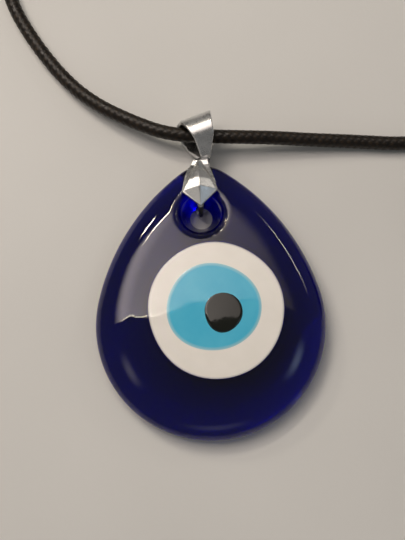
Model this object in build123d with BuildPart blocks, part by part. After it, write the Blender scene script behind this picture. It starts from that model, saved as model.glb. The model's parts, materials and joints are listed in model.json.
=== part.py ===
"""Evil eye pendant on a waxed cord necklace.

A cobalt glass drop with a white, light blue and black eye lies on its back. A one-piece silver
pinch bail holds it by its pierced hole, and a black braided cord runs through the bail's loop. The
cord's spare length is put away in two coils, and its ends carry the necklace's closure: crimps,
jump rings, a lobster clasp and an extension chain.

Millimetres. +Z is up from the table, +Y runs from the glass towards the bail, and the origin is
under the middle of the pendant (glass and bail), on the table.
"""

import os
from math import asin, atan, cos, degrees, pi, radians, sin, sqrt, tan

from build123d import *

os.makedirs("parts", exist_ok=True)

# ---- Glass drop -------------------------------------------------------------------------------
base_radius = 18.75  # the round lower half
apex_radius = 6.2  # the small arc at the top
flank_radius = 37.0  # the long arcs between them
glass_height = 45.5
glass_thickness = 6.5
crown_radius = 160.0  # the gently domed front
crown_y = 2.0  # the crown's highest point above the middle of the base arc
front_edge_radius = 3.0
back_edge_radius = 1.3

hole_x = -0.46
hole_y = 18.1
hole_back_radius = 1.6
hole_front_radius = 3.6
hole_lip_radius = 0.9
hole_back_lip_radius = 0.35

# ---- Eye, three layers of glass let into each other, flush with the front ------------------------
white_centre, white_size, white_depth = (0.97, 1.8), (21.9, 21.9), 1.0
iris_centre, iris_size, iris_depth = (0.6, 2.2), (15.4, 14.3), 0.65
pupil_centre, pupil_size, pupil_depth = (2.15, 1.47), (6.2, 6.5), 0.4

# ---- Bail, measured from the hole's axis and the glass's back -----------------------------------
strip = 0.75  # thickness of the metal
back_gap = 0.25  # between the glass and each leg
leaf_underside = 5.95
leaf_tip, leaf_corner, leaf_half_width = 0.7, 3.3, 2.95
neck_height = 8.85
neck_half_width = 1.75
neck_level = 2.8  # middle of the loop above the glass's back
pyramid_height = 0.95
loop_turn = 18.0  # the loop's axis, turned from +X
loop_centre = (0.91, 13.96)
loop_radius = 3.3
loop_half_width = 4.0
loop_neck = 4.6  # from the loop's middle to its pinched end

# ---- Cord ------------------------------------------------------------------------------------------
cord_radius = 1.2
coil_inside, coil_outside, coil_height = 7.3, 15.0, 4.8
coil_edge = 1.0
coil_left = (-20.0, 70.0)
coil_right = (51.0, 7.2)
coil_exit_radius = 12.0
left_exit_angle, right_exit_angle = 70.0, 162.5

# ---- Closure -----------------------------------------------------------------------------------------
fitting_level = 1.76  # height of the closure's middle line above the table
crimp_length, crimp_width, crimp_height = 6.0, 3.5, 3.3
crimp_grip = 5.0  # how far the cord goes in
crimp_bore = 1.26
crimp_slit = 0.25
crimp_wall = 0.6
tab_length, tab_width, tab_thickness, tab_hole = 3.4, 3.0, 0.5, 1.0
ring_wire, ring_radius, ring_opening = 0.4, 1.9, 6.0
roll = 45.0  # rings and links lie slanted on the table
link_wire, link_half_straight, link_bend = 0.35, 0.7, 1.3
link_play = 0.1
link_count = 10
drop_radius = 1.7
drop_eye, drop_neck = 1.2, 1.1

# ---- Lobster clasp, measured from its eye's middle ----------------------------------------------------
clasp_thickness, slot_width = 3.0, 1.3
eye_hole, eye_outside, eye_thickness = 1.25, 2.05, 0.8
claw_middle, claw_long, claw_wide = 7.0, 5.4, 3.5
claw_edge = 0.35
mouth_middle, mouth_long, mouth_wide = 8.0, 3.2, 2.0
gap_from, gap_to, gap_level = 5.1, 10.1, -1.5  # the stretch that the lever closes
slot_from, slot_to, slot_level = 2.1, 6.1, -0.1  # the slot that the lever turns in
web_to, web_width = 2.3, 2.4  # from the eye to the claw
pivot_x, pivot_y = 3.3, -1.35
rivet_radius, rivet_head, rivet_head_height = 0.42, 0.75, 0.2
lever_hole, lever_boss, lever_thickness = 0.47, 0.95, 1.1
thumb_piece = 3.0  # how far the lever's thumb piece stands out from the pivot
spring_thickness = 0.12


# The glass leans on the bail's back leg, which lifts it off the table by its own thickness.
lift = back_gap + strip
lean = degrees(atan(lift / (base_radius - back_edge_radius + hole_y + leaf_tip)))
pivot = base_radius - back_edge_radius
middle_y = -8.557  # puts the origin under the middle of glass and bail
pendant_plane = Plane(
    origin=(0, middle_y, pivot * sin(radians(lean)) + back_edge_radius * (1 - cos(radians(lean)))),
    x_dir=(1, 0, 0),
    z_dir=(0, -sin(radians(lean)), cos(radians(lean))),
)
hole_origin = pendant_plane.from_local_coords((hole_x, hole_y, 0))
bail_plane = Plane(origin=hole_origin, x_dir=(1, 0, 0), z_dir=pendant_plane.z_dir)


def save(builder, name):
    """Labels a finished piece and writes its STEP file."""
    builder.part.label = name
    export_step(builder.part, f"parts/{name}.step")


def moved(plane, x=0.0, y=0.0, z=0.0):
    """The same plane, moved along its own axes."""
    return Plane(
        origin=plane.from_local_coords((x, y, z)), x_dir=plane.x_dir, z_dir=plane.z_dir
    )


def side_plane(plane, x=0.0, y=0.0, z=0.0):
    """A plane through a point of another: its x is that plane's y, and its y that plane's z."""
    return Plane(
        origin=plane.from_local_coords((x, y, z)), x_dir=plane.y_dir, z_dir=plane.x_dir
    )


# ---- Glass -------------------------------------------------------------------------------------------
# The long arcs touch the base arc and the apex arc from outside, so their centres follow.
apex_centre = glass_height - base_radius - apex_radius
near, far = flank_radius - base_radius, flank_radius - apex_radius
flank_y = (apex_centre**2 + near**2 - far**2) / (2 * apex_centre)
flank_x = sqrt(near**2 - flank_y**2)


def drop_outline():
    """The glass's outline, counterclockwise from the lower right, to be called in a BuildLine."""
    low = degrees(asin(flank_y / near))
    high = degrees(asin((apex_centre - flank_y) / far))
    CenterArc((0, 0), base_radius, 180 + low, 180 - 2 * low)
    CenterArc((-flank_x, flank_y), flank_radius, -low, low + high)
    CenterArc((0, apex_centre), apex_radius, high, 180 - 2 * high)
    CenterArc((flank_x, flank_y), flank_radius, 180 - high, low + high)


def crown(radius_less=0.0, mode=Mode.INTERSECT):
    """The sphere of the domed front, or a smaller one inside it."""
    middle = moved(pendant_plane, y=crown_y, z=glass_thickness - crown_radius)
    with Locations(middle.location):
        Sphere(crown_radius - radius_less, rotation=(90, 0, 0), mode=mode)


def eye_layer(centre, size, depth):
    """A lens of the crown's curve, with an elliptical outline."""
    floor_level = glass_thickness - depth - 1.0
    with BuildPart() as layer:
        with BuildSketch(moved(pendant_plane, centre[0], centre[1], floor_level)):
            Ellipse(size[0] / 2, size[1] / 2)
        extrude(amount=depth + 2)
        crown()
        crown(depth, Mode.SUBTRACT)
    return layer.part


white_lens = eye_layer(white_centre, white_size, white_depth)
iris_lens = eye_layer(iris_centre, iris_size, iris_depth)
pupil_lens = eye_layer(pupil_centre, pupil_size, pupil_depth)

with BuildPart() as glass_body:
    with BuildSketch(pendant_plane):
        with BuildLine():
            drop_outline()
        make_face()
    extrude(amount=glass_thickness + 1)
    crown()
    rims = glass_body.edges().filter_by(lambda e: e.length > 2 * apex_radius / 3)
    back_rim = rims.filter_by_position(Axis.Z, -1, 2.2)
    fillet(back_rim.filter_by(lambda e: e.geom_type == GeomType.CIRCLE), back_edge_radius)
    front_rim = [
        edge
        for edge in glass_body.edges()
        if pendant_plane.to_local_coords(edge.center()).Z > glass_thickness / 2
        and pendant_plane.to_local_coords(edge.start_point()).Z > glass_thickness / 2
        and pendant_plane.to_local_coords(edge.end_point()).Z > glass_thickness / 2
    ]
    fillet(front_rim, front_edge_radius)
    hole_height = glass_thickness + 1
    flare = (hole_front_radius - hole_back_radius) / glass_thickness
    with Locations(moved(bail_plane, z=hole_height / 2).location):
        Cone(
            hole_back_radius,
            hole_back_radius + flare * hole_height,
            hole_height,
            mode=Mode.SUBTRACT,
        )
    hole_top = bail_plane.from_local_coords((-hole_front_radius, 0, glass_thickness - 0.8))
    fillet(glass_body.edges().sort_by_distance(hole_top)[0], hole_lip_radius)
    hole_bottom = bail_plane.from_local_coords((-hole_back_radius, 0, 0))
    fillet(glass_body.edges().sort_by_distance(hole_bottom)[0], hole_back_lip_radius)
    add(white_lens, mode=Mode.SUBTRACT)
save(glass_body, "glass_body")

with BuildPart() as eye_white:
    add(white_lens)
    add(iris_lens, mode=Mode.SUBTRACT)
save(eye_white, "eye_white")

with BuildPart() as eye_iris:
    add(iris_lens)
    add(pupil_lens, mode=Mode.SUBTRACT)
save(eye_iris, "eye_iris")

with BuildPart() as eye_pupil:
    add(pupil_lens)
save(eye_pupil, "eye_pupil")


# ---- Bail: two legs that end in claws in the hole, and a loop for the cord, all one strip --------------
leg_plane = side_plane(bail_plane)
loop_plane = Plane(
    origin=bail_plane.from_local_coords((*loop_centre, neck_level)),
    x_dir=(
        bail_plane.from_local_coords((-sin(radians(loop_turn)), cos(radians(loop_turn)), 0))
        - bail_plane.origin
    ),
    z_dir=(
        bail_plane.from_local_coords((cos(radians(loop_turn)), sin(radians(loop_turn)), 0))
        - bail_plane.origin
    ),
)


def cut_to(outline_points):
    """Keeps only what lies inside a polygon seen from the front."""
    with BuildSketch(moved(bail_plane, z=-2 * strip - 1)) as outline:
        with BuildLine():
            Polyline(*outline_points, close=True)
        make_face()
    extrude(outline.sketch, amount=glass_thickness + 6, mode=Mode.INTERSECT)


with BuildPart() as bail_legs:
    with BuildSketch(leg_plane):
        with BuildLine():
            Polyline(
                (leaf_tip - 0.3, leaf_underside + strip),
                (5.6, leaf_underside + strip),
                (9.8, neck_level + 1.4),
                (10.7, neck_level + strip),
                (10.7, neck_level - strip),
                (10.1, 0.9),
                (8.7, -lift),
                (leaf_tip - 0.3, -lift),
                (leaf_tip - 0.3, -back_gap),
                (8.35, -back_gap),
                (9.5, 1.3),
                (9.5, neck_level + 0.75),
                (5.4, leaf_underside),
                (leaf_tip - 0.3, leaf_underside),
                close=True,
            )
        make_face()
    extrude(amount=leaf_half_width + 1, both=True)
    cut_to(
        [
            (0, leaf_tip),
            (leaf_half_width, leaf_corner),
            (neck_half_width + 0.15, neck_height),
            (2.0, 10.2),
            (0.35, 10.4),
            (-neck_half_width, neck_height),
            (-leaf_half_width, leaf_corner),
        ]
    )

with BuildPart() as bail_loop:
    with BuildSketch(loop_plane):
        Circle(loop_radius)
        with Locations((-loop_neck, 0)):
            Circle(strip)
        make_hull()
    extrude(amount=loop_half_width, both=True)
    with BuildSketch(loop_plane) as loop_inside:
        Circle(loop_radius - strip)
        with Locations((-loop_neck + 1.0, 0)):
            Circle(0.15)
        make_hull()
    extrude(amount=loop_half_width, both=True, mode=Mode.SUBTRACT)
    cut_to(
        [
            (0.4, 9.6),
            (-0.7, 11.9),
            (-2.5, 16.1),
            (-3.0, 17.6),
            (1.9, 19.4),
            (2.4, 18.0),
            (3.05, 12.0),
            (1.95, 9.6),
        ]
    )


def claw(stations):
    """A curved, tapered pin through circles given as (height, y, radius)."""
    with BuildPart() as pin:
        for height, y, radius in stations:
            with BuildSketch(moved(bail_plane, y=y, z=height)):
                Circle(radius)
        loft()
    return pin.part


with BuildPart() as pyramid:
    base_level = leaf_underside + strip - 0.02
    with BuildSketch(moved(bail_plane, z=base_level)) as pyramid_base:
        with BuildLine():
            Polyline((0, 1.0), (2.5, 3.5), (0, 6.4), (-2.5, 3.5), close=True)
        make_face()
    summit = bail_plane.from_local_coords((0, 3.9, base_level + pyramid_height))
    loft(sections=[pyramid_base.sketch.faces()[0], Vertex(summit)], ruled=True)

front_claw = claw([(3.0, -0.3, 0.28), (4.6, 0.45, 0.45), (leaf_underside + 0.35, 1.1, 0.5)])
back_claw = claw([(-back_gap - 0.35, 1.1, 0.5), (0.6, 0.5, 0.42), (2.1, 0.1, 0.28)])

with BuildPart() as bail:
    add(bail_legs.part)
    add(bail_loop.part)
    add(pyramid.part)
    add(front_claw)
    add(back_claw)
save(bail, "bail")


# ---- Cord ------------------------------------------------------------------------------------------------
# The stretch through the bail, from the left coil to the right one.
span_route = [
    (-33.8, 70.0, 1.2),
    (-34.0, 61.5, 1.2),
    (-32.6, 52.7, 1.2),
    (-28.7, 44.7, 1.2),
    (-23.2, 36.6, 1.45),
    (-17.9, 31.3, 2.1),
    (-11.2, 27.1, 2.95),
    (-4.8, 24.0, 3.6),
    (6.0, 23.05, 3.5),
    (12.6, 22.8, 2.75),
    (19.6, 22.2, 2.0),
    (27.0, 21.7, 1.35),
    (34.5, 20.8, 1.2),
    (43.0, 20.9, 1.2),
    (51.0, 21.0, 1.2),
]


def bend_radii(points):
    """The largest arcs that the runs on both sides of each corner leave room for."""
    found = []
    for before, corner, after in zip(points, points[1:], points[2:]):
        arriving = Vector(*corner) - Vector(*before)
        leaving = Vector(*after) - Vector(*corner)
        half_turn = radians(arriving.get_angle(leaving)) / 2
        found.append(0.45 * min(arriving.length, leaving.length) / tan(half_turn))
    return found


def cord_tube(points, name):
    """A round tube along straight runs joined by tangent arcs, and its path's length."""
    radii = bend_radii(points)
    with BuildPart() as tube:
        with BuildLine() as path:
            FilletPolyline(*points, radius=radii)
        with BuildSketch(Plane(origin=points[0], z_dir=Vector(*points[1]) - Vector(*points[0]))):
            Circle(cord_radius)
        sweep(path=path.line)
    length = sum(edge.length for edge in path.line.edges())
    print(name, "radii", [round(r, 1) for r in radii])
    print(name, "length", round(length, 1), "volume ratio",
          round(tube.part.volume / (length * pi * cord_radius**2), 4))
    save(tube, name)
    return length


def exit_plane(coil_centre, angle):
    """Where the cord leaves a coil laid clockwise: x runs along the cord, z up."""
    turned = radians(angle)
    return Plane(
        origin=(
            coil_centre[0] + coil_exit_radius * cos(turned),
            coil_centre[1] + coil_exit_radius * sin(turned),
            0,
        ),
        x_dir=(sin(turned), -cos(turned), 0),
        z_dir=(0, 0, 1),
    )


def coil(centre, name):
    """The outer shape of the wound turns, a flat ring."""
    with BuildPart() as ring:
        with BuildSketch(Plane(origin=(*centre, 0), x_dir=(1, 0, 0), z_dir=(0, -1, 0))):
            with Locations(((coil_inside + coil_outside) / 2, coil_height / 2)):
                RectangleRounded(coil_outside - coil_inside, coil_height, coil_edge)
        revolve(axis=Axis((*centre, 0), (0, 0, 1)))
    save(ring, name)


left_end = exit_plane(coil_left, left_exit_angle)
right_end = exit_plane(coil_right, right_exit_angle)
coil(coil_left, "cord_coil_left")
coil(coil_right, "cord_coil_right")
cord_length = cord_tube(span_route, "cord_span")

# The cord's last stretches, from the coils to the crimps, as distances along the way out and
# heights. The right one passes over the stretch that comes in.
left_tail = [(8.0, 3.6), (11.6, 3.25), (15.4, 2.35), (19.0, 1.85), (22.6, 1.765), (26.0, 1.76)]
right_tail = [
    (8.0, 3.8),
    (12.4, 3.95),
    (16.4, 3.25),
    (20.2, 2.3),
    (23.8, 1.84),
    (27.2, 1.765),
    (30.6, 1.76),
]
for end, tail, name in (
    (left_end, left_tail, "cord_tail_left"),
    (right_end, right_tail, "cord_tail_right"),
):
    tail_route = [tuple(end.from_local_coords((along, 0, height))) for along, height in tail]
    cord_length += cord_tube(tail_route, name)


# ---- Closure -----------------------------------------------------------------------------------------------
def crimp(end, crimp_start, name):
    """A fold-over cord end: a slit sleeve, an end wall and a pierced tab."""
    sleeve_plane = moved(end, x=crimp_start, z=fitting_level)
    cross_section = side_plane(sleeve_plane)
    tab_x = crimp_start + crimp_length + crimp_wall
    with BuildPart() as sleeve:
        with BuildSketch(cross_section):
            RectangleRounded(crimp_width, crimp_height, 1.1)
            Circle(crimp_bore, mode=Mode.SUBTRACT)
            with Locations((0, crimp_height / 2)):
                Rectangle(crimp_slit, crimp_height, mode=Mode.SUBTRACT)
        extrude(amount=crimp_length)
        with BuildSketch(cross_section.offset(crimp_length)):
            RectangleRounded(crimp_width, crimp_height, 1.1)
        extrude(amount=crimp_wall)
        with BuildSketch(moved(end, x=tab_x - 0.1, z=fitting_level - tab_thickness / 2)):
            with Locations((tab_length / 4, 0)):
                Rectangle(tab_length / 2 + 0.2, tab_width)
            with Locations((tab_length / 2, 0)):
                Circle(tab_width / 2)
                Circle(tab_hole, mode=Mode.SUBTRACT)
        extrude(amount=tab_thickness)
    save(sleeve, name)
    return tab_x - 0.1 + tab_length / 2


def turning_point(name, plane, x, y=0.0, z=fitting_level):
    """Prints where a piece turns on its neighbour."""
    place = plane.from_local_coords((x, y, z))
    print(name, "turns at", [round(coordinate, 4) for coordinate in place])


def rolled(plane, x, angle):
    """A plane on the closure's middle line, rolled about that line."""
    tip = plane.z_dir * cos(radians(angle)) - plane.y_dir * sin(radians(angle))
    middle = plane.from_local_coords((x, 0, fitting_level))
    return Plane(origin=middle, x_dir=plane.x_dir, z_dir=tip)


def jump_ring(end, x, name):
    """A round wire ring with its butted joint, whose near side lies at x."""
    flat = rolled(end, x + ring_radius, roll)
    section = Plane(
        origin=flat.from_local_coords((0, ring_radius, 0)), x_dir=flat.y_dir, z_dir=flat.x_dir
    )
    with BuildPart() as ring:
        with BuildSketch(section):
            Circle(ring_wire)
        revolve(axis=Axis(flat.origin, flat.z_dir), revolution_arc=360 - ring_opening)
    save(ring, name)
    return x + 2 * ring_radius


def chain_link(end, x, angle, name):
    """An oval link, its near bend's middle at x."""
    flat = rolled(end, x + link_bend + link_half_straight, angle)
    section = Plane(
        origin=flat.from_local_coords((0, link_bend, 0)), x_dir=flat.y_dir, z_dir=flat.x_dir
    )
    with BuildPart() as link:
        with BuildLine(flat) as oval:
            Line((0, link_bend), (link_half_straight, link_bend))
            CenterArc((link_half_straight, 0), link_bend, 90, -180)
            Line((link_half_straight, -link_bend), (-link_half_straight, -link_bend))
            CenterArc((-link_half_straight, 0), link_bend, 270, -180)
            Line((-link_half_straight, link_bend), (0, link_bend))
        with BuildSketch(section):
            Circle(link_wire)
        sweep(path=oval.line)
    save(link, name)
    return x + 2 * (link_bend + link_half_straight)


left_tab = crimp(left_end, left_tail[-1][0] - crimp_grip, "crimp_left")
right_tab = crimp(right_end, right_tail[-1][0] - crimp_grip, "crimp_right")
left_ring_far = jump_ring(left_end, left_tab, "jump_ring_left")
right_ring_far = jump_ring(right_end, right_tab, "jump_ring_right")

far_side, far_wire = right_ring_far, ring_wire
for number in range(1, link_count + 1):
    near_side = far_side - far_wire - link_wire - link_play
    link_angle = -roll if number % 2 else roll
    turning_point(f"chain_link_{number:02d}", right_end, (near_side + far_side) / 2)
    far_side = chain_link(right_end, near_side, link_angle, f"chain_link_{number:02d}")
    far_wire = link_wire

# The drop at the chain's end: an eye, a short neck and a round weight.
eye_near = far_side - 2 * link_wire - link_play
eye_plane = rolled(right_end, eye_near + drop_eye, -roll)
weight_plane = moved(right_end, x=eye_near + 2 * drop_eye, z=fitting_level)
weight_start = drop_neck + drop_radius - sqrt(drop_radius**2 - (2 * link_wire) ** 2)
with BuildPart() as chain_drop:
    with BuildSketch(weight_plane):
        with BuildLine():
            Polyline((weight_start, 2 * link_wire), (0, link_wire), (0, 0))
            Line((0, 0), (drop_neck + 2 * drop_radius, 0))
            ThreePointArc(
                (weight_start, 2 * link_wire),
                (drop_neck + drop_radius, drop_radius),
                (drop_neck + 2 * drop_radius, 0),
            )
        make_face()
    revolve(axis=Axis(weight_plane.origin, weight_plane.x_dir))
    with Locations(eye_plane.location):
        Torus(drop_eye, link_wire)
save(chain_drop, "chain_drop")
turning_point("chain_drop", right_end, (eye_near + far_side) / 2)

# ---- Lobster clasp -------------------------------------------------------------------------------------------
clasp_plane = moved(left_end, x=left_ring_far, z=fitting_level)


def through_clasp(half_thickness, mode=Mode.ADD):
    """Extrudes the last sketch to both sides of the clasp's middle plane."""
    extrude(amount=half_thickness, both=True, mode=mode)


def box_between(x_from, x_to, y_from, y_to, mode=Mode.ADD):
    """A rectangle given by its sides."""
    with Locations(((x_from + x_to) / 2, (y_from + y_to) / 2)):
        Rectangle(x_to - x_from, y_to - y_from, mode=mode)


def is_outer_edge(edge):
    """Whether an edge lies in the clasp's top or bottom face."""
    return abs(abs(edge.center().Z - fitting_level) - clasp_thickness / 2) < 0.01


with BuildPart() as clasp_body:
    with BuildSketch(clasp_plane):
        with Locations((claw_middle, 0)):
            Ellipse(claw_long, claw_wide)
        with Locations((mouth_middle, 0)):
            Ellipse(mouth_long, mouth_wide, mode=Mode.SUBTRACT)
        box_between(gap_from, gap_to, gap_level - claw_wide, gap_level, Mode.SUBTRACT)
    through_clasp(clasp_thickness / 2)
    fillet(clasp_body.edges().filter_by(is_outer_edge), claw_edge)
    with BuildSketch(clasp_plane):
        box_between(slot_from, slot_to, -claw_wide - 1, slot_level)
    through_clasp(slot_width / 2, Mode.SUBTRACT)
    with BuildSketch(clasp_plane):
        Circle(eye_outside)
        box_between(0, web_to, -web_width / 2, web_width / 2)
        Circle(eye_hole, mode=Mode.SUBTRACT)
    through_clasp(eye_thickness / 2)
    with BuildSketch(clasp_plane):
        Circle(eye_hole)
        with Locations((pivot_x, pivot_y)):
            Circle(rivet_radius)
    through_clasp(clasp_thickness, Mode.SUBTRACT)
save(clasp_body, "clasp_body")

with BuildPart() as clasp_rivet:
    with BuildSketch(clasp_plane):
        with Locations((pivot_x, pivot_y)):
            Circle(rivet_radius)
    through_clasp(clasp_thickness / 2)
    for side in (-1, 1):
        with BuildSketch(moved(clasp_plane, z=side * clasp_thickness / 2)):
            with Locations((pivot_x, pivot_y)):
                Circle(rivet_head)
        extrude(amount=side * rivet_head_height)
save(clasp_rivet, "clasp_rivet")

# The lever's own frame has its origin on the rivet.
lever_plane = moved(clasp_plane, x=pivot_x, y=pivot_y)
with BuildPart() as clasp_lever:
    with BuildSketch(lever_plane):
        Circle(lever_boss)
        with BuildLine():
            Polyline(
                (0, -lever_boss),
                (6.0, -1.0),
                (6.45, -0.5),
                (6.0, 0),
                (0, lever_boss - 0.1),
                close=True,
            )
        make_face()
        with BuildLine():
            Polyline(
                (-0.9, 0),
                (-0.5, -thumb_piece),
                (0.7, -thumb_piece),
                (0.9, 0),
                close=True,
            )
        make_face()
        Circle(lever_hole, mode=Mode.SUBTRACT)
    through_clasp(lever_thickness / 2)
save(clasp_lever, "clasp_lever")

# A leaf in the slot's roof that bends down to the lever's back.
with BuildPart() as clasp_spring:
    with BuildSketch(lever_plane):
        with BuildLine():
            Polyline(
                (-0.8, 1.25),
                (2.2, 1.25),
                (2.2, 1.25 - spring_thickness),
                (1.15, 1.0),
                (1.0, 1.25 - spring_thickness),
                (-0.8, 1.25 - spring_thickness),
                close=True,
            )
        make_face()
    through_clasp(lever_thickness / 2 - 0.1)
save(clasp_spring, "clasp_spring")

turning_point("bail", bail_plane, 0, 0, 0)
turning_point("cord", loop_plane, 0, 0, 0)
turning_point("jump_ring_left", left_end, left_tab)
turning_point("clasp_body", clasp_plane, 0, 0, 0)
turning_point("clasp_lever", lever_plane, 0, 0, 0)
turning_point("jump_ring_right", right_end, right_tab)
print("lean", round(lean, 4), "pendant origin", pendant_plane.origin)
print("cord length outside the coils", round(cord_length, 1))
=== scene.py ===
"""The looks of the evil eye pendant on its cord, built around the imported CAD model.

Metres, +Z up from the table. The glass, its eye, the bail, the cord and the coils' ties are made
here; the closure's metal pieces are the CAD nodes with a material of their own.
"""

import json
import math

import bmesh
import bpy
import numpy as np
from mathutils import Matrix, Vector


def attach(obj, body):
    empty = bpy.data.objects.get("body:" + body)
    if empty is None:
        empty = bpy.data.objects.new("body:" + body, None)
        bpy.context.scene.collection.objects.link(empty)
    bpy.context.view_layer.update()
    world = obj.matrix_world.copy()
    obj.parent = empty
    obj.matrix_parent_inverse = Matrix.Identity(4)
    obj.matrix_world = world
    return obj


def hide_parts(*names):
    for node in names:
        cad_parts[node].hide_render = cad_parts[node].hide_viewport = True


MM = 0.001

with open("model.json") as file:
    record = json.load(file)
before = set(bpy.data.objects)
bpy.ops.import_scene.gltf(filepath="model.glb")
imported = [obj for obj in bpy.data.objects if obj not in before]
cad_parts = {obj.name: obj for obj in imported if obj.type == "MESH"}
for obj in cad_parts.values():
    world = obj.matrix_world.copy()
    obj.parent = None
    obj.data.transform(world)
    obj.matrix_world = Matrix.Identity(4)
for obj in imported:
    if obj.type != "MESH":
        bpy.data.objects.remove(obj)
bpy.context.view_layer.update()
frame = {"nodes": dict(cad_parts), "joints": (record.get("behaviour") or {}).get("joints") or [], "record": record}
nodes = frame["nodes"]
mounts = {mount["name"]: mount for mount in frame["record"]["mounts"]}
joints = {joint["name"]: joint for joint in frame["joints"]}


# ---- Camera ---------------------------------------------------------------------------------------
CAMERA_AIM = Vector((-0.8, 0.57, 2.03)) * MM
CAMERA_DISTANCE = 137.3 * MM
CAMERA_TILT = math.radians(12.0)  # from straight down, towards the glass's round end
CAMERA_ROLL = math.radians(3.5)
CAMERA_LENS, CAMERA_SENSOR = 55.0, 36.0


def make_camera():
    """A camera above the pendant, a little to the side of its round end."""
    forward = Vector((0, math.sin(CAMERA_TILT), -math.cos(CAMERA_TILT)))
    level_up = Vector((0, math.cos(CAMERA_TILT), math.sin(CAMERA_TILT)))
    side = Vector((1, 0, 0))
    right = side * math.cos(CAMERA_ROLL) - level_up * math.sin(CAMERA_ROLL)
    up = side * math.sin(CAMERA_ROLL) + level_up * math.cos(CAMERA_ROLL)
    data = bpy.data.cameras.new("camera")
    data.sensor_fit = "VERTICAL"
    data.sensor_height = CAMERA_SENSOR
    data.lens = CAMERA_LENS
    data.clip_start = 0.005
    camera = bpy.data.objects.new("camera", data)
    bpy.context.scene.collection.objects.link(camera)
    turn = Matrix((right, up, -forward)).transposed().to_4x4()
    camera.matrix_world = Matrix.Translation(CAMERA_AIM - forward * CAMERA_DISTANCE) @ turn
    bpy.context.scene.camera = camera


# ---- Cord -----------------------------------------------------------------------------------------
CORD_RADIUS = 1.2 * MM
COIL_OUTSIDE = 13.8 * MM  # the outer turn's middle line
TURN_PITCH = 2.4 * MM  # from one turn to the next
COIL_EXIT_RADIUS = 12.0 * MM
COIL_LEFT = Vector((-20.0, 70.0, 0)) * MM
COIL_RIGHT = Vector((51.0, 7.2, 0)) * MM
LEFT_START, LEFT_EXIT = 180.0, 70.0  # degrees, where the cord enters the coil and leaves it
RIGHT_START, RIGHT_EXIT = 90.0, 162.5
COIL_TURNS = 2  # whole turns, besides the part turn from entry to exit
TURN_STEP = 24.0  # degrees between the points of a coil
LEFT_TIE, RIGHT_TIE = -50.0, -60.0  # degrees, where a tie holds the turns
TIE_LIFT, TIE_REACH = 0.6 * MM, 20.0  # the turns lie on the tie's thread there, for these degrees
TAIL_START = 3.0 * MM  # how far past the coil the way to the crimp begins

STRANDS = 5  # of the braid, each way round
BRAID_PITCH = 1.25 * MM
BRAID_RELIEF = 0.1 * MM
CORD_SIDES = 40
CORD_STEP = 0.125 * MM
PATH_STEP = 0.5 * MM

# The stretch through the bail's loop, from the left coil to the right one, in millimetres.
SPAN_ROUTE = [
    (-33.8, 70.0, 1.2),
    (-34.0, 61.5, 1.2),
    (-32.6, 52.7, 1.2),
    (-28.7, 44.7, 1.2),
    (-23.2, 36.6, 1.45),
    (-17.9, 31.3, 2.1),
    (-11.2, 27.1, 2.95),
    (-4.8, 24.0, 3.6),
    (6.0, 23.05, 3.5),
    (12.6, 22.8, 2.75),
    (19.6, 22.2, 2.0),
    (27.0, 21.7, 1.35),
    (34.5, 20.8, 1.2),
    (43.0, 20.9, 1.2),
    (51.0, 21.0, 1.2),
]
# The last stretches, from the coils to the crimps: distance along the way out, and height.
LEFT_TAIL = [(8.0, 3.6), (11.6, 3.25), (15.4, 2.35), (19.0, 1.85), (22.6, 1.765), (26.0, 1.76)]
RIGHT_TAIL = [
    (8.0, 3.8),
    (12.4, 3.95),
    (16.4, 3.25),
    (20.2, 2.3),
    (23.8, 1.84),
    (27.2, 1.765),
    (30.6, 1.76),
]
# How the last part of a coil climbs over the turns: degrees before the exit, radius and height.
CLIMB = [(118, 9.1, 1.35), (94, 9.15, 2.3), (70, 9.95, 3.3), (46, 11.0, 3.7), (22, 11.8, 3.75)]


def around(centre, degrees, radius, height):
    """A point of a coil."""
    angle = math.radians(degrees)
    return centre + Vector((radius * math.cos(angle), radius * math.sin(angle), height))


def coil_points(centre, start, turned, tie):
    """The turns of a coil, clockwise from where the cord enters it to where it leaves."""
    points = []
    flat = turned - CLIMB[0][0] - TURN_STEP / 2
    steps = int(flat // TURN_STEP)
    for step in range(1, steps + 1):
        gone = flat * step / steps
        radius = COIL_OUTSIDE - TURN_PITCH * gone / 360
        from_tie = (start - gone - tie + 180) % 360 - 180
        lift = TIE_LIFT * math.exp(-((from_tie / TIE_REACH) ** 2))
        points.append(around(centre, start - gone, radius, CORD_RADIUS + lift))
    for before_exit, radius, height in CLIMB:
        points.append(around(centre, start - turned + before_exit, radius * MM, height * MM))
    return points


def tail_points(centre, exit_angle, tail):
    """The stretch from a coil to its crimp."""
    angle = math.radians(exit_angle)
    start = around(centre, exit_angle, COIL_EXIT_RADIUS, 0)
    way_out = Vector((math.sin(angle), -math.cos(angle), 0))
    points = [start + way_out * TAIL_START + Vector((0, 0, CLIMB[-1][2] * MM))]
    for along, height in tail:
        points.append(start + way_out * along * MM + Vector((0, 0, height * MM)))
    return points


def cord_route():
    """The whole cord's control points, from the left crimp to the right one."""
    span = [Vector(point) * MM for point in SPAN_ROUTE]
    left_turned = LEFT_START - LEFT_EXIT + COIL_TURNS * 360
    right_turned = RIGHT_START - RIGHT_EXIT + COIL_TURNS * 360
    left = coil_points(COIL_LEFT, LEFT_START, left_turned, LEFT_TIE)
    left += tail_points(COIL_LEFT, LEFT_EXIT, LEFT_TAIL)
    right = coil_points(COIL_RIGHT, RIGHT_START, right_turned, RIGHT_TIE)
    right += tail_points(COIL_RIGHT, RIGHT_EXIT, RIGHT_TAIL)
    return left[::-1] + span + right


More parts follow.
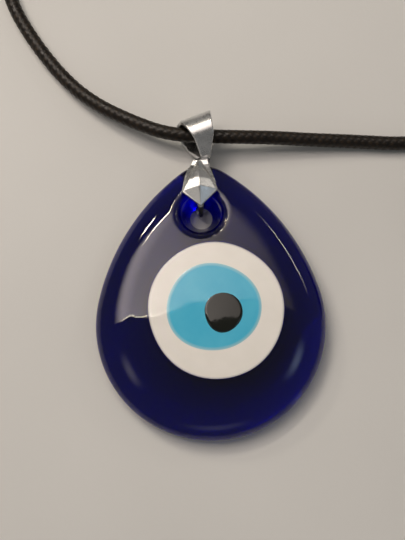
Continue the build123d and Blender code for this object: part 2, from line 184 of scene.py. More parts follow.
def spline_line(points):
    """Even, close points along the NURBS spline that has these control points."""
    data = bpy.data.curves.new("route", "CURVE")
    data.dimensions = "3D"
    data.resolution_u = 24
    spline = data.splines.new("NURBS")
    spline.points.add(len(points) - 1)
    for place, point in zip(spline.points, points):
        place.co = (*point, 1)
    spline.order_u = 3
    spline.use_endpoint_u = True
    route = bpy.data.objects.new("route", data)
    mesh = bpy.data.meshes.new_from_object(route)
    line = np.array([vertex.co for vertex in mesh.vertices], float)
    bpy.data.objects.remove(route)
    bpy.data.curves.remove(data)
    bpy.data.meshes.remove(mesh)
    return line


def even(line, step):
    """The same line as points at equal distances."""
    runs = np.linalg.norm(np.diff(line, axis=0), axis=1)
    keep = np.concatenate([[True], runs > 1e-9])
    line = line[keep]
    gone = np.concatenate([[0], np.cumsum(np.linalg.norm(np.diff(line, axis=0), axis=1))])
    count = int(round(gone[-1] / step)) + 1
    at = np.linspace(0, gone[-1], count)
    return np.stack([np.interp(at, gone, line[:, axis]) for axis in range(3)], axis=1), gone[-1]


def frames_along(line, start_off, closed=False):
    """Two directions across the line at each of its points, turning as little as possible."""
    if closed:
        along = np.roll(line, -1, axis=0) - np.roll(line, 1, axis=0)
    else:
        along = np.gradient(line, axis=0)
    along /= np.linalg.norm(along, axis=1)[:, None]
    across = np.zeros_like(line)
    first = np.cross(along[0], start_off)
    across[0] = first / np.linalg.norm(first)
    for i in range(1, len(line)):
        moved = across[i - 1] - along[i] * np.dot(across[i - 1], along[i])
        across[i] = moved / np.linalg.norm(moved)
    return across, np.cross(along, across)


def braid_height(angle, distance):
    """How high the braid stands, 0 to 1: strands that cross over and under each other."""
    u = STRANDS * angle / (2 * math.pi) + distance / BRAID_PITCH
    v = STRANDS * angle / (2 * math.pi) - distance / BRAID_PITCH
    over = (np.floor(u) + np.floor(v)) % 2 < 1
    across = np.where(over, u, v) % 1 - 0.5
    along = np.where(over, v, u) % 1 - 0.5
    round_top = np.sqrt(np.clip(1 - (2 * across) ** 2, 0, 1))
    return np.clip(round_top * np.cos(math.pi * along) ** 0.5, 0, 1)


def new_object(name, vertices, faces, smooth=True):
    """A mesh object from arrays, its faces turned outward."""
    mesh = bpy.data.meshes.new(name)
    mesh.from_pydata([tuple(v) for v in vertices], [], [tuple(f) for f in faces])
    if smooth:
        shape = bmesh.new()
        shape.from_mesh(mesh)
        bmesh.ops.recalc_face_normals(shape, faces=shape.faces)
        shape.to_mesh(mesh)
        shape.free()
    mesh.polygons.foreach_set("use_smooth", [smooth] * len(mesh.polygons))
    mesh.update()
    made = bpy.data.objects.new(name, mesh)
    bpy.context.scene.collection.objects.link(made)
    return made


def grid_faces(rows, columns, wrap_rows=False):
    """Quads of a grid whose columns wrap round."""
    faces = []
    for row in range(rows if wrap_rows else rows - 1):
        here, there = row * columns, (row + 1) % rows * columns
        for column in range(columns):
            beside = (column + 1) % columns
            faces.append((here + column, here + beside, there + beside, there + column))
    return faces


def end_faces(rows, columns):
    """The two faces that close such a grid's first and last rows."""
    last = (rows - 1) * columns
    return [tuple(range(columns))[::-1], tuple(last + column for column in range(columns))]


def keep_value(thing, name, values):
    """Stores one number for each vertex, for the material to read."""
    attribute = thing.data.attributes.new(name, "FLOAT", "POINT")
    attribute.data.foreach_set("value", np.asarray(values, np.float32))


def make_cord():
    """The braided cord, one closed tube along the spline, and the path it follows."""
    line, length = even(spline_line(cord_route()), CORD_STEP)
    across, upward = frames_along(line, (0, 0, 1))
    angles = np.linspace(0, 2 * math.pi, CORD_SIDES, endpoint=False)
    distance = np.linspace(0, length, len(line))
    height = braid_height(angles[None, :], distance[:, None])
    radius = CORD_RADIUS - BRAID_RELIEF * (1 - height)
    ring = np.cos(angles)[None, :, None] * across[:, None, :]
    ring = ring + np.sin(angles)[None, :, None] * upward[:, None, :]
    vertices = (line[:, None, :] + radius[:, :, None] * ring).reshape(-1, 3)
    faces = grid_faces(len(line), CORD_SIDES) + end_faces(len(line), CORD_SIDES)
    cord = new_object("cord", vertices, faces)
    keep_value(cord, "braid", height.reshape(-1))
    path, _ = even(line, PATH_STEP)
    return cord, path


# ---- Pendant frames -------------------------------------------------------------------------------
def frame_at(origin, z_axis):
    """The pendant's own frame at a point: x to the right, y towards the bail, z out of the eye."""
    x_axis = Vector((1, 0, 0))
    y_axis = z_axis.cross(x_axis)
    return Matrix.Translation(origin) @ Matrix((x_axis, y_axis, z_axis)).transposed().to_4x4()


OUT_OF_EYE = -Vector(mounts["glass_back"]["axis"]).normalized()
PENDANT = frame_at(Vector(mounts["glass_back"]["pos_m"]), OUT_OF_EYE)
BAIL = frame_at(Vector(joints["bail_swing"]["pos_m"]), OUT_OF_EYE)


def placed(matrix, points):
    """Points in millimetres in a frame, as metres in the row's frame."""
    turn = np.array(matrix.to_3x3())
    return np.asarray(points, float) * MM @ turn.T + np.array(matrix.translation)


# ---- Glass ----------------------------------------------------------------------------------------
# Millimetres in the pendant's frame, whose origin is the middle of the round lower half.
BASE_RADIUS, APEX_RADIUS, FLANK_RADIUS = 18.75, 6.2, 37.0
GLASS_HEIGHT, GLASS_THICKNESS = 45.5, 6.5
CROWN_RADIUS, CROWN_Y = 160.0, 2.0
WIDEST_LEVEL = 2.3  # where the side stands out most
SHOULDER_WIDTH, SHOULDER_POWER = 6.0, 2.1
UNEVENNESS = 0.03
BACK_ROUND = 1.6
HOLE = np.array((-0.46, 18.1))
HOLE_BACK, HOLE_MOUTH = 1.6, 3.3  # radii
HOLE_CHAMFER = 0.35  # at the back
LIP_WIDTH, LIP_DROP = 1.7, 1.5
SPOKES = 420


def outline_arcs():
    """The drop's outline, counterclockwise, as (centre, radius, start angle, sweep)."""
    apex = GLASS_HEIGHT - BASE_RADIUS - APEX_RADIUS
    near, far = FLANK_RADIUS - BASE_RADIUS, FLANK_RADIUS - APEX_RADIUS
    flank_y = (apex**2 + near**2 - far**2) / (2 * apex)
    flank_x = math.sqrt(near**2 - flank_y**2)
    low, high = math.asin(flank_y / near), math.asin((apex - flank_y) / far)
    return [
        ((0, 0), BASE_RADIUS, math.pi + low, math.pi - 2 * low),
        ((-flank_x, flank_y), FLANK_RADIUS, -low, low + high),
        ((0, apex), APEX_RADIUS, high, math.pi - 2 * high),
        ((flank_x, flank_y), FLANK_RADIUS, math.pi - high, low + high),
    ]


def outline(count):
    """Points at equal distances along the drop's outline, and the inward directions there."""
    arcs = outline_arcs()
    ends = np.cumsum([radius * sweep for _, radius, _, sweep in arcs])
    points, inward = [], []
    for gone in np.linspace(0, ends[-1], count, endpoint=False):
        index = int(np.searchsorted(ends, gone, side="right"))
        centre, radius, start, sweep = arcs[index]
        angle = start + sweep - (ends[index] - gone) / radius
        outward = np.array((math.cos(angle), math.sin(angle)))
        points.append(np.array(centre) + radius * outward)
        inward.append(-outward)
    return np.array(points), np.array(inward)


OUTLINE, INWARD = outline(SPOKES)


def edge_distance(places):
    """How far places on the front are from the outline."""
    nearest = np.full(places.shape[:-1], np.inf)
    for centre, radius, start, sweep in outline_arcs():
        away = places - np.array(centre)
        angle = (np.arctan2(away[..., 1], away[..., 0]) - start) % (2 * math.pi)
        gap = radius - np.hypot(away[..., 0], away[..., 1])
        nearest = np.where((angle <= sweep) & (gap < nearest), gap, nearest)
    return np.maximum(nearest, 0)


def crown_level(places):
    """The domed front without its edges, a little uneven as pressed glass is."""
    x, y = places[..., 0], places[..., 1]
    level = GLASS_THICKNESS - (x**2 + (y - CROWN_Y) ** 2) / (2 * CROWN_RADIUS)
    uneven = np.sin(0.31 * x + 0.9) * np.sin(0.27 * y - 0.4) + 0.5 * np.sin(0.52 * x - 0.37 * y)
    return level + UNEVENNESS * uneven


def front_level(places):
    """The front with its soft shoulders."""
    inside = np.clip(edge_distance(places) / SHOULDER_WIDTH, 0, 1)
    rise = (1 - (1 - inside) ** SHOULDER_POWER) ** (1 / SHOULDER_POWER)
    crown = crown_level(places)
    return WIDEST_LEVEL + (crown - WIDEST_LEVEL) * rise


def make_glass():
    """The drop: closed profiles from the hole over the front and round the edge, spoke by spoke."""
    towards = OUTLINE - HOLE
    reach = np.linalg.norm(towards, axis=1)
    towards /= reach[:, None]
    rings = []

    def add(places, levels):
        """One more ring: its places on the front, and its levels over the back."""
        levels = np.broadcast_to(levels, places.shape[:1])
        rings.append(np.column_stack([places, levels]))

    lip_level = front_level(HOLE + towards * (HOLE_MOUTH + LIP_WIDTH)) - LIP_DROP
    for share in np.linspace(0, 1, 14)[:-1]:
        turn = min(1.0, share * 6) * math.pi / 2
        radius = HOLE_BACK + HOLE_CHAMFER * (1 - math.sin(turn))
        radius += (HOLE_MOUTH - HOLE_BACK) * share
        add(HOLE + towards * radius, share * lip_level)
    for turn in np.linspace(0, math.pi / 2, 18)[:-1]:
        places = HOLE + towards * (HOLE_MOUTH + LIP_WIDTH * (1 - math.cos(turn)))
        add(places, front_level(places) - LIP_DROP * (1 - math.sin(turn)))
    start = HOLE_MOUTH + LIP_WIDTH
    for share in np.linspace(0, 1, 150):
        radius = start + (reach - start) * math.sin(share * math.pi / 2)
        places = HOLE + towards * radius[:, None]
        add(places, front_level(places))
    for turn in np.linspace(0, math.pi / 2, 14)[1:]:
        places = OUTLINE + INWARD * BACK_ROUND * (1 - math.cos(turn))
        add(places, WIDEST_LEVEL * (1 - math.sin(turn)))
    back_edge = OUTLINE + INWARD * BACK_ROUND
    hole_edge = HOLE + towards * (HOLE_BACK + HOLE_CHAMFER)
    for share in np.linspace(0, 1, 26)[1:-1]:
        add(back_edge + (hole_edge - back_edge) * share, 0.0)
    vertices = placed(PENDANT, np.concatenate(rings))
    return new_object("glass", vertices, grid_faces(len(rings), SPOKES, True))


# ---- Eye ------------------------------------------------------------------------------------------
LAYER_SPOKES, LAYER_RINGS = 240, 48
LAYER_EDGE = 0.5  # how far in a layer's top starts to round off
LAYER_SINK = 0.04  # how far its rim lies below the front
MIDDLE_SHARE = 0.004  # the rings start this close to the middle


def make_layer(name, centre, radius_at, depth, rise, lean=0.0):
    """One pool of glass: its top follows the front, stands a little proud and can lean to the bail."""
    angles = np.linspace(0, 2 * math.pi, LAYER_SPOKES, endpoint=False)
    edge = radius_at(angles)
    way = np.stack([np.cos(angles), np.sin(angles)], axis=1)
    rings, blends = [], []
    for share in np.linspace(MIDDLE_SHARE, 1, LAYER_RINGS):
        share = math.sin(share * math.pi / 2)
        places = np.array(centre) + way * (edge * share)[:, None]
        inside = np.clip(edge * (1 - share) / LAYER_EDGE, 0, 1)
        proud = rise + LAYER_SINK - lean * (places[:, 1] - centre[1])
        level = crown_level(places) - LAYER_SINK + proud * np.sqrt(1 - (1 - inside) ** 2)
        rings.append(np.column_stack([places, level]))
        blends.append(edge * (1 - share))
    for share in np.linspace(1, MIDDLE_SHARE, LAYER_RINGS // 2):
        places = np.array(centre) + way * (edge * share)[:, None]
        level = crown_level(places) - LAYER_SINK - depth * math.sqrt(1 - share**2 * 0.999)
        rings.append(np.column_stack([places, level]))
        blends.append(edge * (1 - share))
    faces = grid_faces(len(rings), LAYER_SPOKES) + end_faces(len(rings), LAYER_SPOKES)
    made = new_object(name, placed(PENDANT, np.concatenate(rings)), faces)
    keep_value(made, "inside", np.concatenate(blends))
    return made


def white_radius(angle):
    """Nearly round, as hand-poured glass is."""
    lobes = 0.06 * np.sin(3 * angle + 0.6) + 0.05 * np.sin(5 * angle) + 0.1 * np.cos(2 * angle + 2.6)
    return 10.95 + lobes


def iris_radius(angle):
    """Wider than high, and flattened on the left."""
    ellipse = 7.7 * 7.15 / np.hypot(7.15 * np.cos(angle), 7.7 * np.sin(angle))
    flat = np.minimum(ellipse, 7.75 / np.maximum(-np.cos(angle), 0.2))
    return flat + 0.12 * np.cos(3 * angle + 0.9) + 0.05 * np.sin(4 * angle)


def pupil_radius(angle):
    """Egg-shaped, its small end down and to the left."""
    point = np.cos(angle - math.radians(252))
    return 3.12 + 0.05 * np.cos(2 * (angle - math.radians(300))) + 0.45 * np.maximum(point, 0) ** 4


# ---- Bail -----------------------------------------------------------------------------------------
# Millimetres in the bail's frame, whose origin is the hole's middle at the glass's back.
STRIP = 0.75
LEAF_LEVEL, LEG_LEVEL, NECK_LEVEL = 6.32, -0.62, 2.8  # middles of the strip
LOOP_TURN = math.radians(18.0)
LOOP_CENTRE = np.array((0.86, 14.2))
LOBE = 1.3  # how much wider to the left the loop is behind
LOOP_RADIUS = 3.3 - STRIP / 2
LOOP_OPENS = 118.0  # degrees from the loop's far side to where its ends leave it
KITE = [(0.0, 0.75), (2.7, 3.4), (0.1, 8.5), (-2.7, 3.4)]  # the raised face of the leaf
SUMMIT, SUMMIT_RISE = (0.0, 3.9), 0.95
LEAF_END, LEAF_FADE = 8.9, 0.6  # where the raised face ends, and over what length it fades out
BEVEL_SLOPE, BEVEL_DEPTH = 0.9, 0.5
EDGE_ROUND = 0.16
STRIP_STEP = 0.08
ACROSS = 44  # columns over each face of the strip
PIN_SIDES, PIN_STEPS = 20, 28
# The claws as (level, y, radius), from inside the hole to the leaf or the leg.
FRONT_CLAW = [(2.9, -0.35, 0.2), (3.6, -0.1, 0.33), (4.7, 0.45, 0.43), (6.2, 1.1, 0.5)]
BACK_CLAW = [(2.1, 0.1, 0.2), (1.5, 0.2, 0.32), (0.6, 0.5, 0.42), (-0.55, 1.1, 0.5)]


def strip_stations():
    """The strip's left and right edges from the leaf's tip round the loop to the back leg's tip."""
    left = [(-0.06, 0.7, LEAF_LEVEL), (-2.95, 3.3, LEAF_LEVEL), (-2.5, 5.2, LEAF_LEVEL)]
    right = [(0.06, 0.7, LEAF_LEVEL), (2.95, 3.3, LEAF_LEVEL), (2.55, 5.2, LEAF_LEVEL)]
    left += [(-2.2, 6.5, 5.9), (-1.75, 7.6, 5.25), (-0.95, 8.75, 4.4), (0.35, 9.5, 3.55)]
    right += [(2.25, 6.5, 5.9), (2.0, 7.6, 5.25), (1.75, 8.75, 4.4), (1.75, 9.65, 3.6)]
    way = np.array((-math.sin(LOOP_TURN), math.cos(LOOP_TURN)))
    side = np.array((math.cos(LOOP_TURN), math.sin(LOOP_TURN)))

    def loop_station(out, level):
        """The edges where the loop is this far out from its middle, wider to the left behind."""
        near_side = np.interp(out, [-4.4, -2.5, -1.0, 1.0, 3.3], [-1.6, -1.5, -1.7, -2.2, -3.0])
        far_side = np.interp(out, [-4.47, -2.53, 3.38], [-0.36, 1.43, 2.9])
        near_side -= LOBE * min(1.0, max(0.0, -level / 2.0)) * min(1.0, (out + 4.6) / 1.2)
        middle = LOOP_CENTRE + way * out
        left.append((*(middle + side * near_side), NECK_LEVEL + level))
        right.append((*(middle + side * far_side), NECK_LEVEL + level))

    loop_station(-4.1, 0.45)
    for degrees in np.linspace(LOOP_OPENS, -LOOP_OPENS, 60):
        angle = math.radians(degrees)
        loop_station(LOOP_RADIUS * math.cos(angle), LOOP_RADIUS * math.sin(angle))
    loop_station(-4.1, -0.45)
    left += [(-0.6, 9.7, 1.1), (-1.8, 8.5, LEG_LEVEL), (-2.95, 3.3, LEG_LEVEL), (-0.06, 0.7, LEG_LEVEL)]
    right += [(1.95, 9.8, 1.1), (1.85, 8.5, LEG_LEVEL), (2.95, 3.3, LEG_LEVEL), (0.06, 0.7, LEG_LEVEL)]
    return np.array(left, float), np.array(right, float)


def kite_rise(x, y):
    """The leaf's face: a low pyramid, bevelled off outside its upper edges."""
    faces = []
    for index, (start, end) in enumerate(zip(KITE, KITE[1:] + KITE[:1])):
        start, end = np.array(start), np.array(end)
        inward = np.array((start[1] - end[1], end[0] - start[0])) / np.linalg.norm(end - start)
        inside = (x - start[0]) * inward[0] + (y - start[1]) * inward[1]
        top = (SUMMIT[0] - start[0]) * inward[0] + (SUMMIT[1] - start[1]) * inward[1]
        faces.append((inside, inside / top, index in (1, 2)))
    rise = SUMMIT_RISE * np.clip(np.min([share for _, share, _ in faces], axis=0), 0, 1)
    outside = np.max([-inside for inside, _, bevelled in faces if bevelled], axis=0)
    return rise - np.clip(BEVEL_SLOPE * outside, 0, BEVEL_DEPTH)


def smoothed(stations, width):
    """A short moving average, which rounds the strip's bends and leaves its ends."""
    padded = np.concatenate([stations[:1]] * width + [stations] + [stations[-1:]] * width)
    kernel = np.ones(2 * width + 1) / (2 * width + 1)
    return np.stack([np.convolve(padded[:, axis], kernel, "valid") for axis in range(3)], axis=1)


def strip_section(half_width, edge):
    """The strip's section, as places across it and outward: one half, and the same turned round."""
    turn = np.linspace(0, math.pi / 2, 5)[1:]
    corner_across = half_width - edge + edge * np.sin(turn)
    corner_outward = STRIP / 2 - edge + edge * np.cos(turn)
    across = [np.linspace(-1, 1, ACROSS) * (half_width - edge), corner_across, corner_across[::-1]]
    outward = [np.full(ACROSS, STRIP / 2), corner_outward, -corner_outward[::-1]]
    across, outward = np.concatenate(across), np.concatenate(outward)
    return np.concatenate([across, -across]), np.concatenate([outward, -outward])


def strip_mesh():
    """The strip's vertices and faces: a rounded rectangle carried along its stations."""
    left, right = strip_stations()
    middle = (left + right) / 2
    gone = np.concatenate([[0], np.cumsum(np.linalg.norm(np.diff(middle, axis=0), axis=1))])
    at = np.linspace(0, gone[-1], int(gone[-1] / STRIP_STEP))
    left = smoothed(np.stack([np.interp(at, gone, left[:, k]) for k in range(3)], axis=1), 3)
    right = smoothed(np.stack([np.interp(at, gone, right[:, k]) for k in range(3)], axis=1), 3)
    middle = (left + right) / 2
    half = np.linalg.norm(right - left, axis=1) / 2
    side = (right - left) / (2 * half[:, None])
    along = np.gradient(middle, axis=0)
    outward = np.cross(side, along)
    outward /= np.linalg.norm(outward, axis=1)[:, None]
    rings = []
    for centre, half_width, across, out in zip(middle, half, side, outward):
        u, v = strip_section(half_width, min(EDGE_ROUND, 0.8 * half_width))
        ring = centre + u[:, None] * across
        on_leaf = out[2] > 0.75 and centre[1] < LEAF_END and centre[2] > NECK_LEVEL
        if on_leaf:
            fade = np.clip((LEAF_END - centre[1]) / LEAF_FADE, 0, 1)
            v = v + np.where(v > 0, kite_rise(ring[:, 0], ring[:, 1]) * fade, 0)
        rings.append(ring + v[:, None] * out)
    count = len(rings[0])
    sides = [face[::-1] for face in grid_faces(len(rings), count)]  # to face outward
    return np.concatenate(rings), sides + end_faces(len(rings), count)


def pin_mesh(stations):
    """A curved, tapered pin with a rounded tip at its first station."""
    stations = np.array(stations)
    at = np.linspace(0, len(stations) - 1, PIN_STEPS)
    level, y, radius = (np.interp(at, range(len(stations)), stations[:, k]) for k in range(3))
    radius = radius * np.sqrt(1 - (1 - np.clip(at / 0.7, 0.02, 1)) ** 2)
    angles = np.linspace(0, 2 * math.pi, PIN_SIDES, endpoint=False)
    across = radius[:, None] * np.cos(angles)
    upward = y[:, None] + radius[:, None] * np.sin(angles)
    levels = np.broadcast_to(level[:, None], across.shape)
    vertices = np.stack([across, upward, levels], axis=2).reshape(-1, 3)
    faces = grid_faces(PIN_STEPS, PIN_SIDES) + end_faces(PIN_STEPS, PIN_SIDES)
    if level[0] > level[-1]:
        faces = [face[::-1] for face in faces]  # to face outward
    return vertices, faces


def joined(meshes):
    """Several (vertices, faces) as one."""
    vertices, faces, count = [], [], 0
    for some_vertices, some_faces in meshes:
        vertices.append(some_vertices)
        faces += [tuple(index + count for index in face) for face in some_faces]
        count += len(some_vertices)
    return np.concatenate(vertices), faces


def make_bail():
    """The one-piece pinch bail."""
    vertices, faces = joined([strip_mesh(), pin_mesh(FRONT_CLAW), pin_mesh(BACK_CLAW)])
    return new_object("pinch_bail", placed(BAIL, vertices), faces)


# ---- Ties -----------------------------------------------------------------------------------------
# Millimetres.
THREAD_RADIUS = 0.22
THREAD_SIDES = 10
WRAPS = 6
WRAP_SQUARENESS = 0.45  # 1 is an ellipse, towards 0 a rectangle
KNOT_LIFT, KNOT_LENGTH, KNOT_WIDTH = 0.25, 0.55, 0.3
END_REACH = 2.6


def thread_mesh(line, radius, closed):
    """A round thread along a line."""
    across, upward = frames_along(line, (0.3, 0.5, 0.81), closed)
    angles = np.linspace(0, 2 * math.pi, THREAD_SIDES, endpoint=False)
    ring = np.cos(angles)[None, :, None] * across[:, None] + np.sin(angles)[None, :, None] * upward[:, None]
    vertices = (line[:, None] + radius * ring).reshape(-1, 3)
    faces = grid_faces(len(line), THREAD_SIDES, closed)
    if not closed:
        faces += end_faces(len(line), THREAD_SIDES)
    return vertices, faces


def make_tie(name, centre, degrees, inner, outer):
    """A few wraps of black thread round a coil's turns, with the knot and its ends on top."""
    angle = math.radians(degrees)
    out = np.array((math.cos(angle), math.sin(angle), 0))
    along = np.array((-math.sin(angle), math.cos(angle), 0))
    up = np.array((0, 0, 1.0))
    low, high = THREAD_RADIUS, 2 * CORD_RADIUS / MM + 3.2 * THREAD_RADIUS
    half_out, half_up = (outer - inner) / 2 + THREAD_RADIUS, (high - low) / 2
    middle = np.array(centre) / MM + (inner + outer) / 2 * out + (low + high) / 2 * up
    meshes = []
    turn = np.linspace(0, 2 * math.pi, 64, endpoint=False)
    u = np.sign(np.cos(turn)) * np.abs(np.cos(turn)) ** WRAP_SQUARENESS
    v = np.sign(np.sin(turn)) * np.abs(np.sin(turn)) ** WRAP_SQUARENESS
    for wrap in range(WRAPS):
        offset = (wrap - (WRAPS - 1) / 2) * 2 * THREAD_RADIUS * 0.97
        lean = offset + 0.12 * np.sin(turn + wrap)
        line = middle + np.outer(half_out * u, out) + np.outer(half_up * v, up) + np.outer(lean, along)
        meshes.append(thread_mesh(line, THREAD_RADIUS, True))
    top = middle + (half_up + KNOT_LIFT) * up
    turn = np.linspace(0, 2 * math.pi, 40, endpoint=False)
    for tilt in (-0.5, 0.6):
        way = along * math.cos(tilt) + out * math.sin(tilt)
        line = top + np.outer(KNOT_LENGTH * np.cos(turn), way)
        line = line + np.outer(KNOT_WIDTH * np.sin(turn), np.cross(up, way))
        meshes.append(thread_mesh(line + np.outer(0.15 * np.sin(2 * turn), up), THREAD_RADIUS, True))
    reach = np.linspace(0, 1, 16)
    for side in (-1, 1):
        line = top + np.outer(reach * END_REACH * side, out * 0.8 + along * 0.5 * side)
        line = line + np.outer(0.25 - 0.55 * reach**2 + 0.1 * np.sin(reach * 5), up)
        meshes.append(thread_mesh(line, THREAD_RADIUS * 0.9, False))
    vertices, faces = joined(meshes)
    return new_object(name, vertices * MM, faces)


# ---- Materials ------------------------------------------------------------------------------------
def new_material(name, **sockets):
    """A Principled material with plain values on its own sockets."""
    material = bpy.data.materials.new(name)
    material.use_nodes = True
    shader = material.node_tree.nodes["Principled BSDF"]
    for socket, value in sockets.items():
        shader.inputs[socket.replace("_", " ")].default_value = value
    return material, material.node_tree, shader


def add_node(tree, kind, inputs=None, **settings):
    """A node with its settings and its input values or links."""
    node = tree.nodes.new(kind)
    for key, value in settings.items():
        setattr(node, key, value)
    for key, value in (inputs or {}).items():
        if isinstance(value, bpy.types.NodeSocket):
            tree.links.new(value, node.inputs[key])
        else:
            node.inputs[key].default_value = value
    return node


def noise(tree, scale, detail=3.0, stretch=(1, 1, 1)):
    """Noise in the object's own coordinates, its scale in cells per metre."""
    place = add_node(tree, "ShaderNodeTexCoord").outputs["Object"]
    mapped = add_node(tree, "ShaderNodeMapping", {"Vector": place, "Scale": stretch})
    found = add_node(
        tree, "ShaderNodeTexNoise", {"Vector": mapped.outputs[0], "Scale": scale, "Detail": detail}
    )
    return found.outputs["Fac"]


def spread(tree, value, low, high, from_low=0.0, from_high=1.0):
    """Maps a value from one range to another."""
    inputs = {"Value": value, "From Min": from_low, "From Max": from_high, "To Min": low, "To Max": high}
    return add_node(tree, "ShaderNodeMapRange", inputs).outputs["Result"]


def ramp(tree, value, stops):
    """Colours along a value."""
    node = add_node(tree, "ShaderNodeValToRGB", {"Fac": value})
    elements = node.color_ramp.elements
    while len(elements) < len(stops):
        elements.new(0.5)
    for element, (place, colour) in zip(elements, stops):
        element.position = place
        element.color = (*colour, 1)
    return node.outputs["Color"]


def bump(tree, shader, height, strength, distance):
    """Fine relief on the surface."""
    node = add_node(tree, "ShaderNodeBump", {"Height": height, "Strength": strength, "Distance": distance})
    tree.links.new(node.outputs["Normal"], shader.inputs["Normal"])


def glass_material():
    """Cobalt glass: clear at the surface, and so deep a blue inside that it is black where thick."""
    material, tree, shader = new_material(
        "cobalt_glass", Transmission_Weight=1.0, IOR=1.52, Base_Color=(0.01, 0.01, 1.0, 1)
    )
    fine = noise(tree, 900, 2)
    tree.links.new(spread(tree, fine, 0.01, 0.05), shader.inputs["Roughness"])
    bump(tree, shader, noise(tree, 160, 2), 0.08, 0.0004)
    depth = add_node(tree, "ShaderNodeVolumeAbsorption", {"Color": (0.0, 0.0, 0.845, 1), "Density": 1150.0})
    tree.links.new(depth.outputs["Volume"], tree.nodes["Material Output"].inputs["Volume"])
    return material


def opaque_glass(name, rim_colour, colour, other_colour, rim_width):
    """Opaque coloured glass, cloudy, and melted into what is round it at its rim."""
    material, tree, shader = new_material(name, IOR=1.5)
    inside = add_node(tree, "ShaderNodeAttribute", attribute_name="inside").outputs["Fac"]
    clouds = ramp(tree, noise(tree, 260, 4), [(0.3, colour), (0.75, other_colour)])
    at_rim = spread(tree, inside, 1.0, 0.0, 0.0, rim_width)
    mixed = add_node(tree, "ShaderNodeMixRGB", {"Fac": at_rim, "Color1": clouds, "Color2": (*rim_colour, 1)})
    tree.links.new(mixed.outputs[0], shader.inputs["Base Color"])
    tree.links.new(spread(tree, noise(tree, 1200, 2), 0.02, 0.06), shader.inputs["Roughness"])
    bump(tree, shader, noise(tree, 220, 3), 0.06, 0.0003)
    return material


def metal_material(name, colour, low, high, scratches):
    """Polished plated metal with fine scratches and duller patches."""
    material, tree, shader = new_material(name, Metallic=1.0)
    patches = noise(tree, 420, 5)
    fine = noise(tree, 2600, 3, (1, 6, 6))
    tone = ramp(tree, patches, [(0.3, tuple(0.86 * c for c in colour)), (0.7, colour)])
    tree.links.new(tone, shader.inputs["Base Color"])
    dull = add_node(tree, "ShaderNodeMath", {0: patches, 1: fine}, operation="MULTIPLY").outputs[0]
    tree.links.new(spread(tree, dull, low, high, 0.1, 0.45), shader.inputs["Roughness"])
    bump(tree, shader, fine, scratches, 0.00004)
    return material


def cord_material():
    """Black waxed braid: brown on the strands' backs, partly wear and partly a painted sheen, with painted shade
    dark between them.
    """
    material, tree, shader = new_material("waxed_cord", Coat_Weight=0.1, Coat_Roughness=0.35, IOR=1.38)
    height = add_node(tree, "ShaderNodeAttribute", attribute_name="braid").outputs["Fac"]
    wax = noise(tree, 700, 4)
    mixed = add_node(tree, "ShaderNodeMath", {0: height, 1: wax}, operation="MULTIPLY").outputs[0]
    # Colours by braid height: painted shade, nearly black, in the gaps between the strands, and brown on the
    # strands' backs, partly wear and partly a painted sheen.
    gaps_painted_shade, sides, backs_wear_and_sheen = (0.0015, 0.0011, 0.0008), (0.01, 0.0055, 0.002), (0.034, 0.019, 0.007)
    tone = ramp(tree, mixed, [(0.0, gaps_painted_shade), (0.35, sides), (0.8, backs_wear_and_sheen)])
    tree.links.new(tone, shader.inputs["Base Color"])
    tree.links.new(spread(tree, wax, 0.3, 0.6, 0.3, 0.7), shader.inputs["Roughness"])
    bump(tree, shader, noise(tree, 5200, 3), 0.35, 0.00006)
    return material


def floor_material():
    """Pale, matt and very slightly mottled."""
    material, tree, shader = new_material("pale_floor", Roughness=0.6)
    tone = ramp(tree, noise(tree, 14, 3), [(0.3, (0.66, 0.66, 0.645)), (0.7, (0.72, 0.72, 0.705))])
    tree.links.new(tone, shader.inputs["Base Color"])
    bump(tree, shader, noise(tree, 1500, 2), 0.05, 0.0002)
    return material


def finish_with(thing, material, body=None, stands_for=()):
    """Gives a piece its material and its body."""
    thing.data.materials.clear()
    thing.data.materials.append(material)
    if body:
        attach(thing, body)
    if stands_for:
        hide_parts(*stands_for)


# ---- Light and floor ------------------------------------------------------------------------------
FLOOR_HALF = 6.0  # metres
WORLD_STRENGTH = 0.16
WARM_WHITE, LAMP, LAMP_RIGHT = (1.0, 0.88, 0.8), (1.0, 0.9, 0.75), (1.0, 0.92, 0.82)
FILL_WHITE, FILL_WARM, FILL_COOL = (1, 1, 1), (1.0, 0.93, 0.82), (0.66, 0.83, 1.0)


def panel(name, place, aim, width, height, radiance, colour, fades):
    """A rectangular light of a given brightness, fading towards its left, right, bottom and top."""
    data = bpy.data.lights.new(name, "AREA")
    data.shape = "RECTANGLE"
    data.size, data.size_y = width, height
    data.energy = radiance * math.pi * width * height
    data.color = colour
    data.use_nodes = True
    tree = data.node_tree
    across = add_node(tree, "ShaderNodeTexCoord").outputs["UV"]
    split = add_node(tree, "ShaderNodeSeparateXYZ", {0: across})
    strength = 1.0
    for share, axis, far in zip(fades, "XXYY", (False, True, False, True)):
        if share:
            start, end = (1.0, 1.0 - share) if far else (0.0, share)
            inputs = {"Value": split.outputs[axis], "From Min": start, "From Max": end}
            step = add_node(tree, "ShaderNodeMapRange", inputs, interpolation_type="SMOOTHSTEP")
            inputs = {0: strength, 1: step.outputs["Result"]}
            strength = add_node(tree, "ShaderNodeMath", inputs, operation="MULTIPLY").outputs[0]
    tree.links.new(strength, tree.nodes["Emission"].inputs["Strength"])
    light = bpy.data.objects.new(name, data)
    bpy.context.scene.collection.objects.link(light)
    place = Vector(place)
    turn = (Vector(aim) - place).to_track_quat("-Z", "Y").to_matrix().to_4x4()
    light.matrix_world = Matrix.Translation(place) @ turn


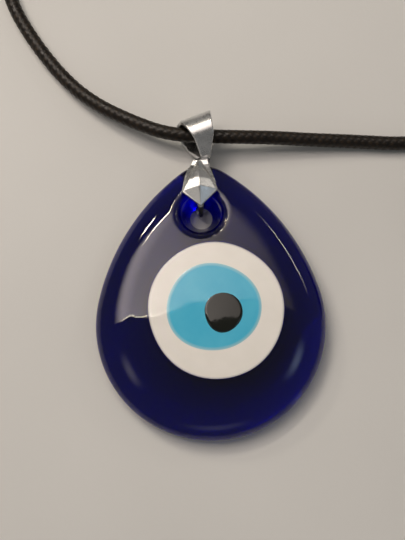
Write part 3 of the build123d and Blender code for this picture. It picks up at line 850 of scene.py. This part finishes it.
def make_stage():
    """The floor and the lights."""
    half = FLOOR_HALF
    corners = [(-half, -half, 0), (half, -half, 0), (half, half, 0), (-half, half, 0)]
    floor = new_object("floor", corners, [(0, 1, 2, 3)], smooth=False)
    finish_with(floor, floor_material())
    world = bpy.data.worlds.new("world")
    world.use_nodes = True
    background = world.node_tree.nodes["Background"]
    background.inputs["Color"].default_value = (1.0, 0.97, 0.93, 1)
    background.inputs["Strength"].default_value = WORLD_STRENGTH
    bpy.context.scene.world = world
    bpy.context.scene.view_settings.view_transform = "Standard"
    middle = (0, 0, 0)
    sides = (0.3, 0.3, 0, 0)
    soft = (0.5, 0.5, 0.5, 0.5)
    # The overhead panel's near edge is the line that its mirror image in the glass ends at, and the
    # rail just past it is the thin bright line there.
    above = (-0.13, 0.224, 0)
    panel("overhead", (-0.13, 0.224, 0.5), above, 0.78, 0.34, 5.5, WARM_WHITE, (0.35, 0.85, 0, 0.25))
    panel("window_rail", (-0.2, 0.052, 0.5), (-0.2, 0.052, 0), 0.36, 0.0025, 16.0, LAMP, sides)
    panel("lamp", (-0.17, 0.36, 0.49), middle, 0.3, 0.016, 60.0, LAMP, sides)
    panel("lamp_low", (-0.34, 0.4, 0.38), middle, 0.1, 0.03, 60.0, LAMP, (0.2, 0.5, 0, 0))
    panel("lamp_right", (0.42, 0.3, 0.34), middle, 0.34, 0.012, 16.0, LAMP_RIGHT, (0.4, 0.4, 0, 0))
    panel("front_fill", (0.0, -0.75, 0.45), middle, 0.7, 0.3, 0.4, FILL_WHITE, soft)
    panel("front_left", (-0.46, -0.2, 0.62), middle, 0.3, 0.3, 1.0, FILL_WARM, soft)
    panel("front_right", (0.46, -0.2, 0.62), middle, 0.3, 0.3, 1.5, FILL_COOL, soft)


# ---- Everything -----------------------------------------------------------------------------------
make_camera()

CORD_NODES = ["cord_span", "cord_coil_left", "cord_coil_right", "cord_tail_left", "cord_tail_right"]
on_cord = sorted(name for name in nodes if name.startswith(("crimp", "jump", "clasp", "chain")))
cord_stuff = cord_material()
cord, cord_path = make_cord()
finish_with(cord, cord_stuff, "cord", CORD_NODES)
ties = [
    make_tie("tie_left", COIL_LEFT, LEFT_TIE, 8.65, 13.5),
    make_tie("tie_right", COIL_RIGHT, RIGHT_TIE, 9.15, 14.0),
]
for tie in ties:
    finish_with(tie, cord_stuff, "cord")

make_stage()

finish_with(make_glass(), glass_material(), "pendant", ["glass_body"])
# Each pool's rim colour and the two colours of its clouds, and then its rim's width in millimetres.
white = make_layer("white_pool", (0.97, 1.8), white_radius, 0.95, 0.05)
white_colours = ((0.5, 0.48, 0.52), (0.96, 0.93, 0.88), (0.91, 0.88, 0.82))
white_glass = opaque_glass("white_glass", *white_colours, 0.35)
finish_with(white, white_glass, "pendant", ["eye_white"])
iris = make_layer("light_blue_pool", (0.6, 2.2), iris_radius, 0.6, 0.09)
iris_colours = ((0.5, 0.75, 0.8), (0.07, 0.5, 0.75), (0.11, 0.57, 0.8))
light_blue_glass = opaque_glass("light_blue_glass", *iris_colours, 0.7)
finish_with(iris, light_blue_glass, "pendant", ["eye_iris"])
pupil = make_layer("black_pool", (2.15, 1.47), pupil_radius, 0.4, 0.2, 0.032)
pupil_colours = ((0.02, 0.05, 0.06), (0.004, 0.005, 0.003), (0.008, 0.009, 0.006))
black_glass = opaque_glass("black_glass", *pupil_colours, 0.3)
finish_with(pupil, black_glass, "pendant", ["eye_pupil"])

silver = metal_material("silver", (0.74, 0.74, 0.74), 0.2, 0.42, 0.1)
finish_with(make_bail(), silver, "bail", ["bail"])
plated = metal_material("plated_metal", (0.8, 0.79, 0.77), 0.12, 0.32, 0.15)
steel = metal_material("spring_steel", (0.55, 0.55, 0.57), 0.2, 0.4, 0.2)
for name in on_cord:
    finish_with(nodes[name], steel if name == "clasp_spring" else plated)
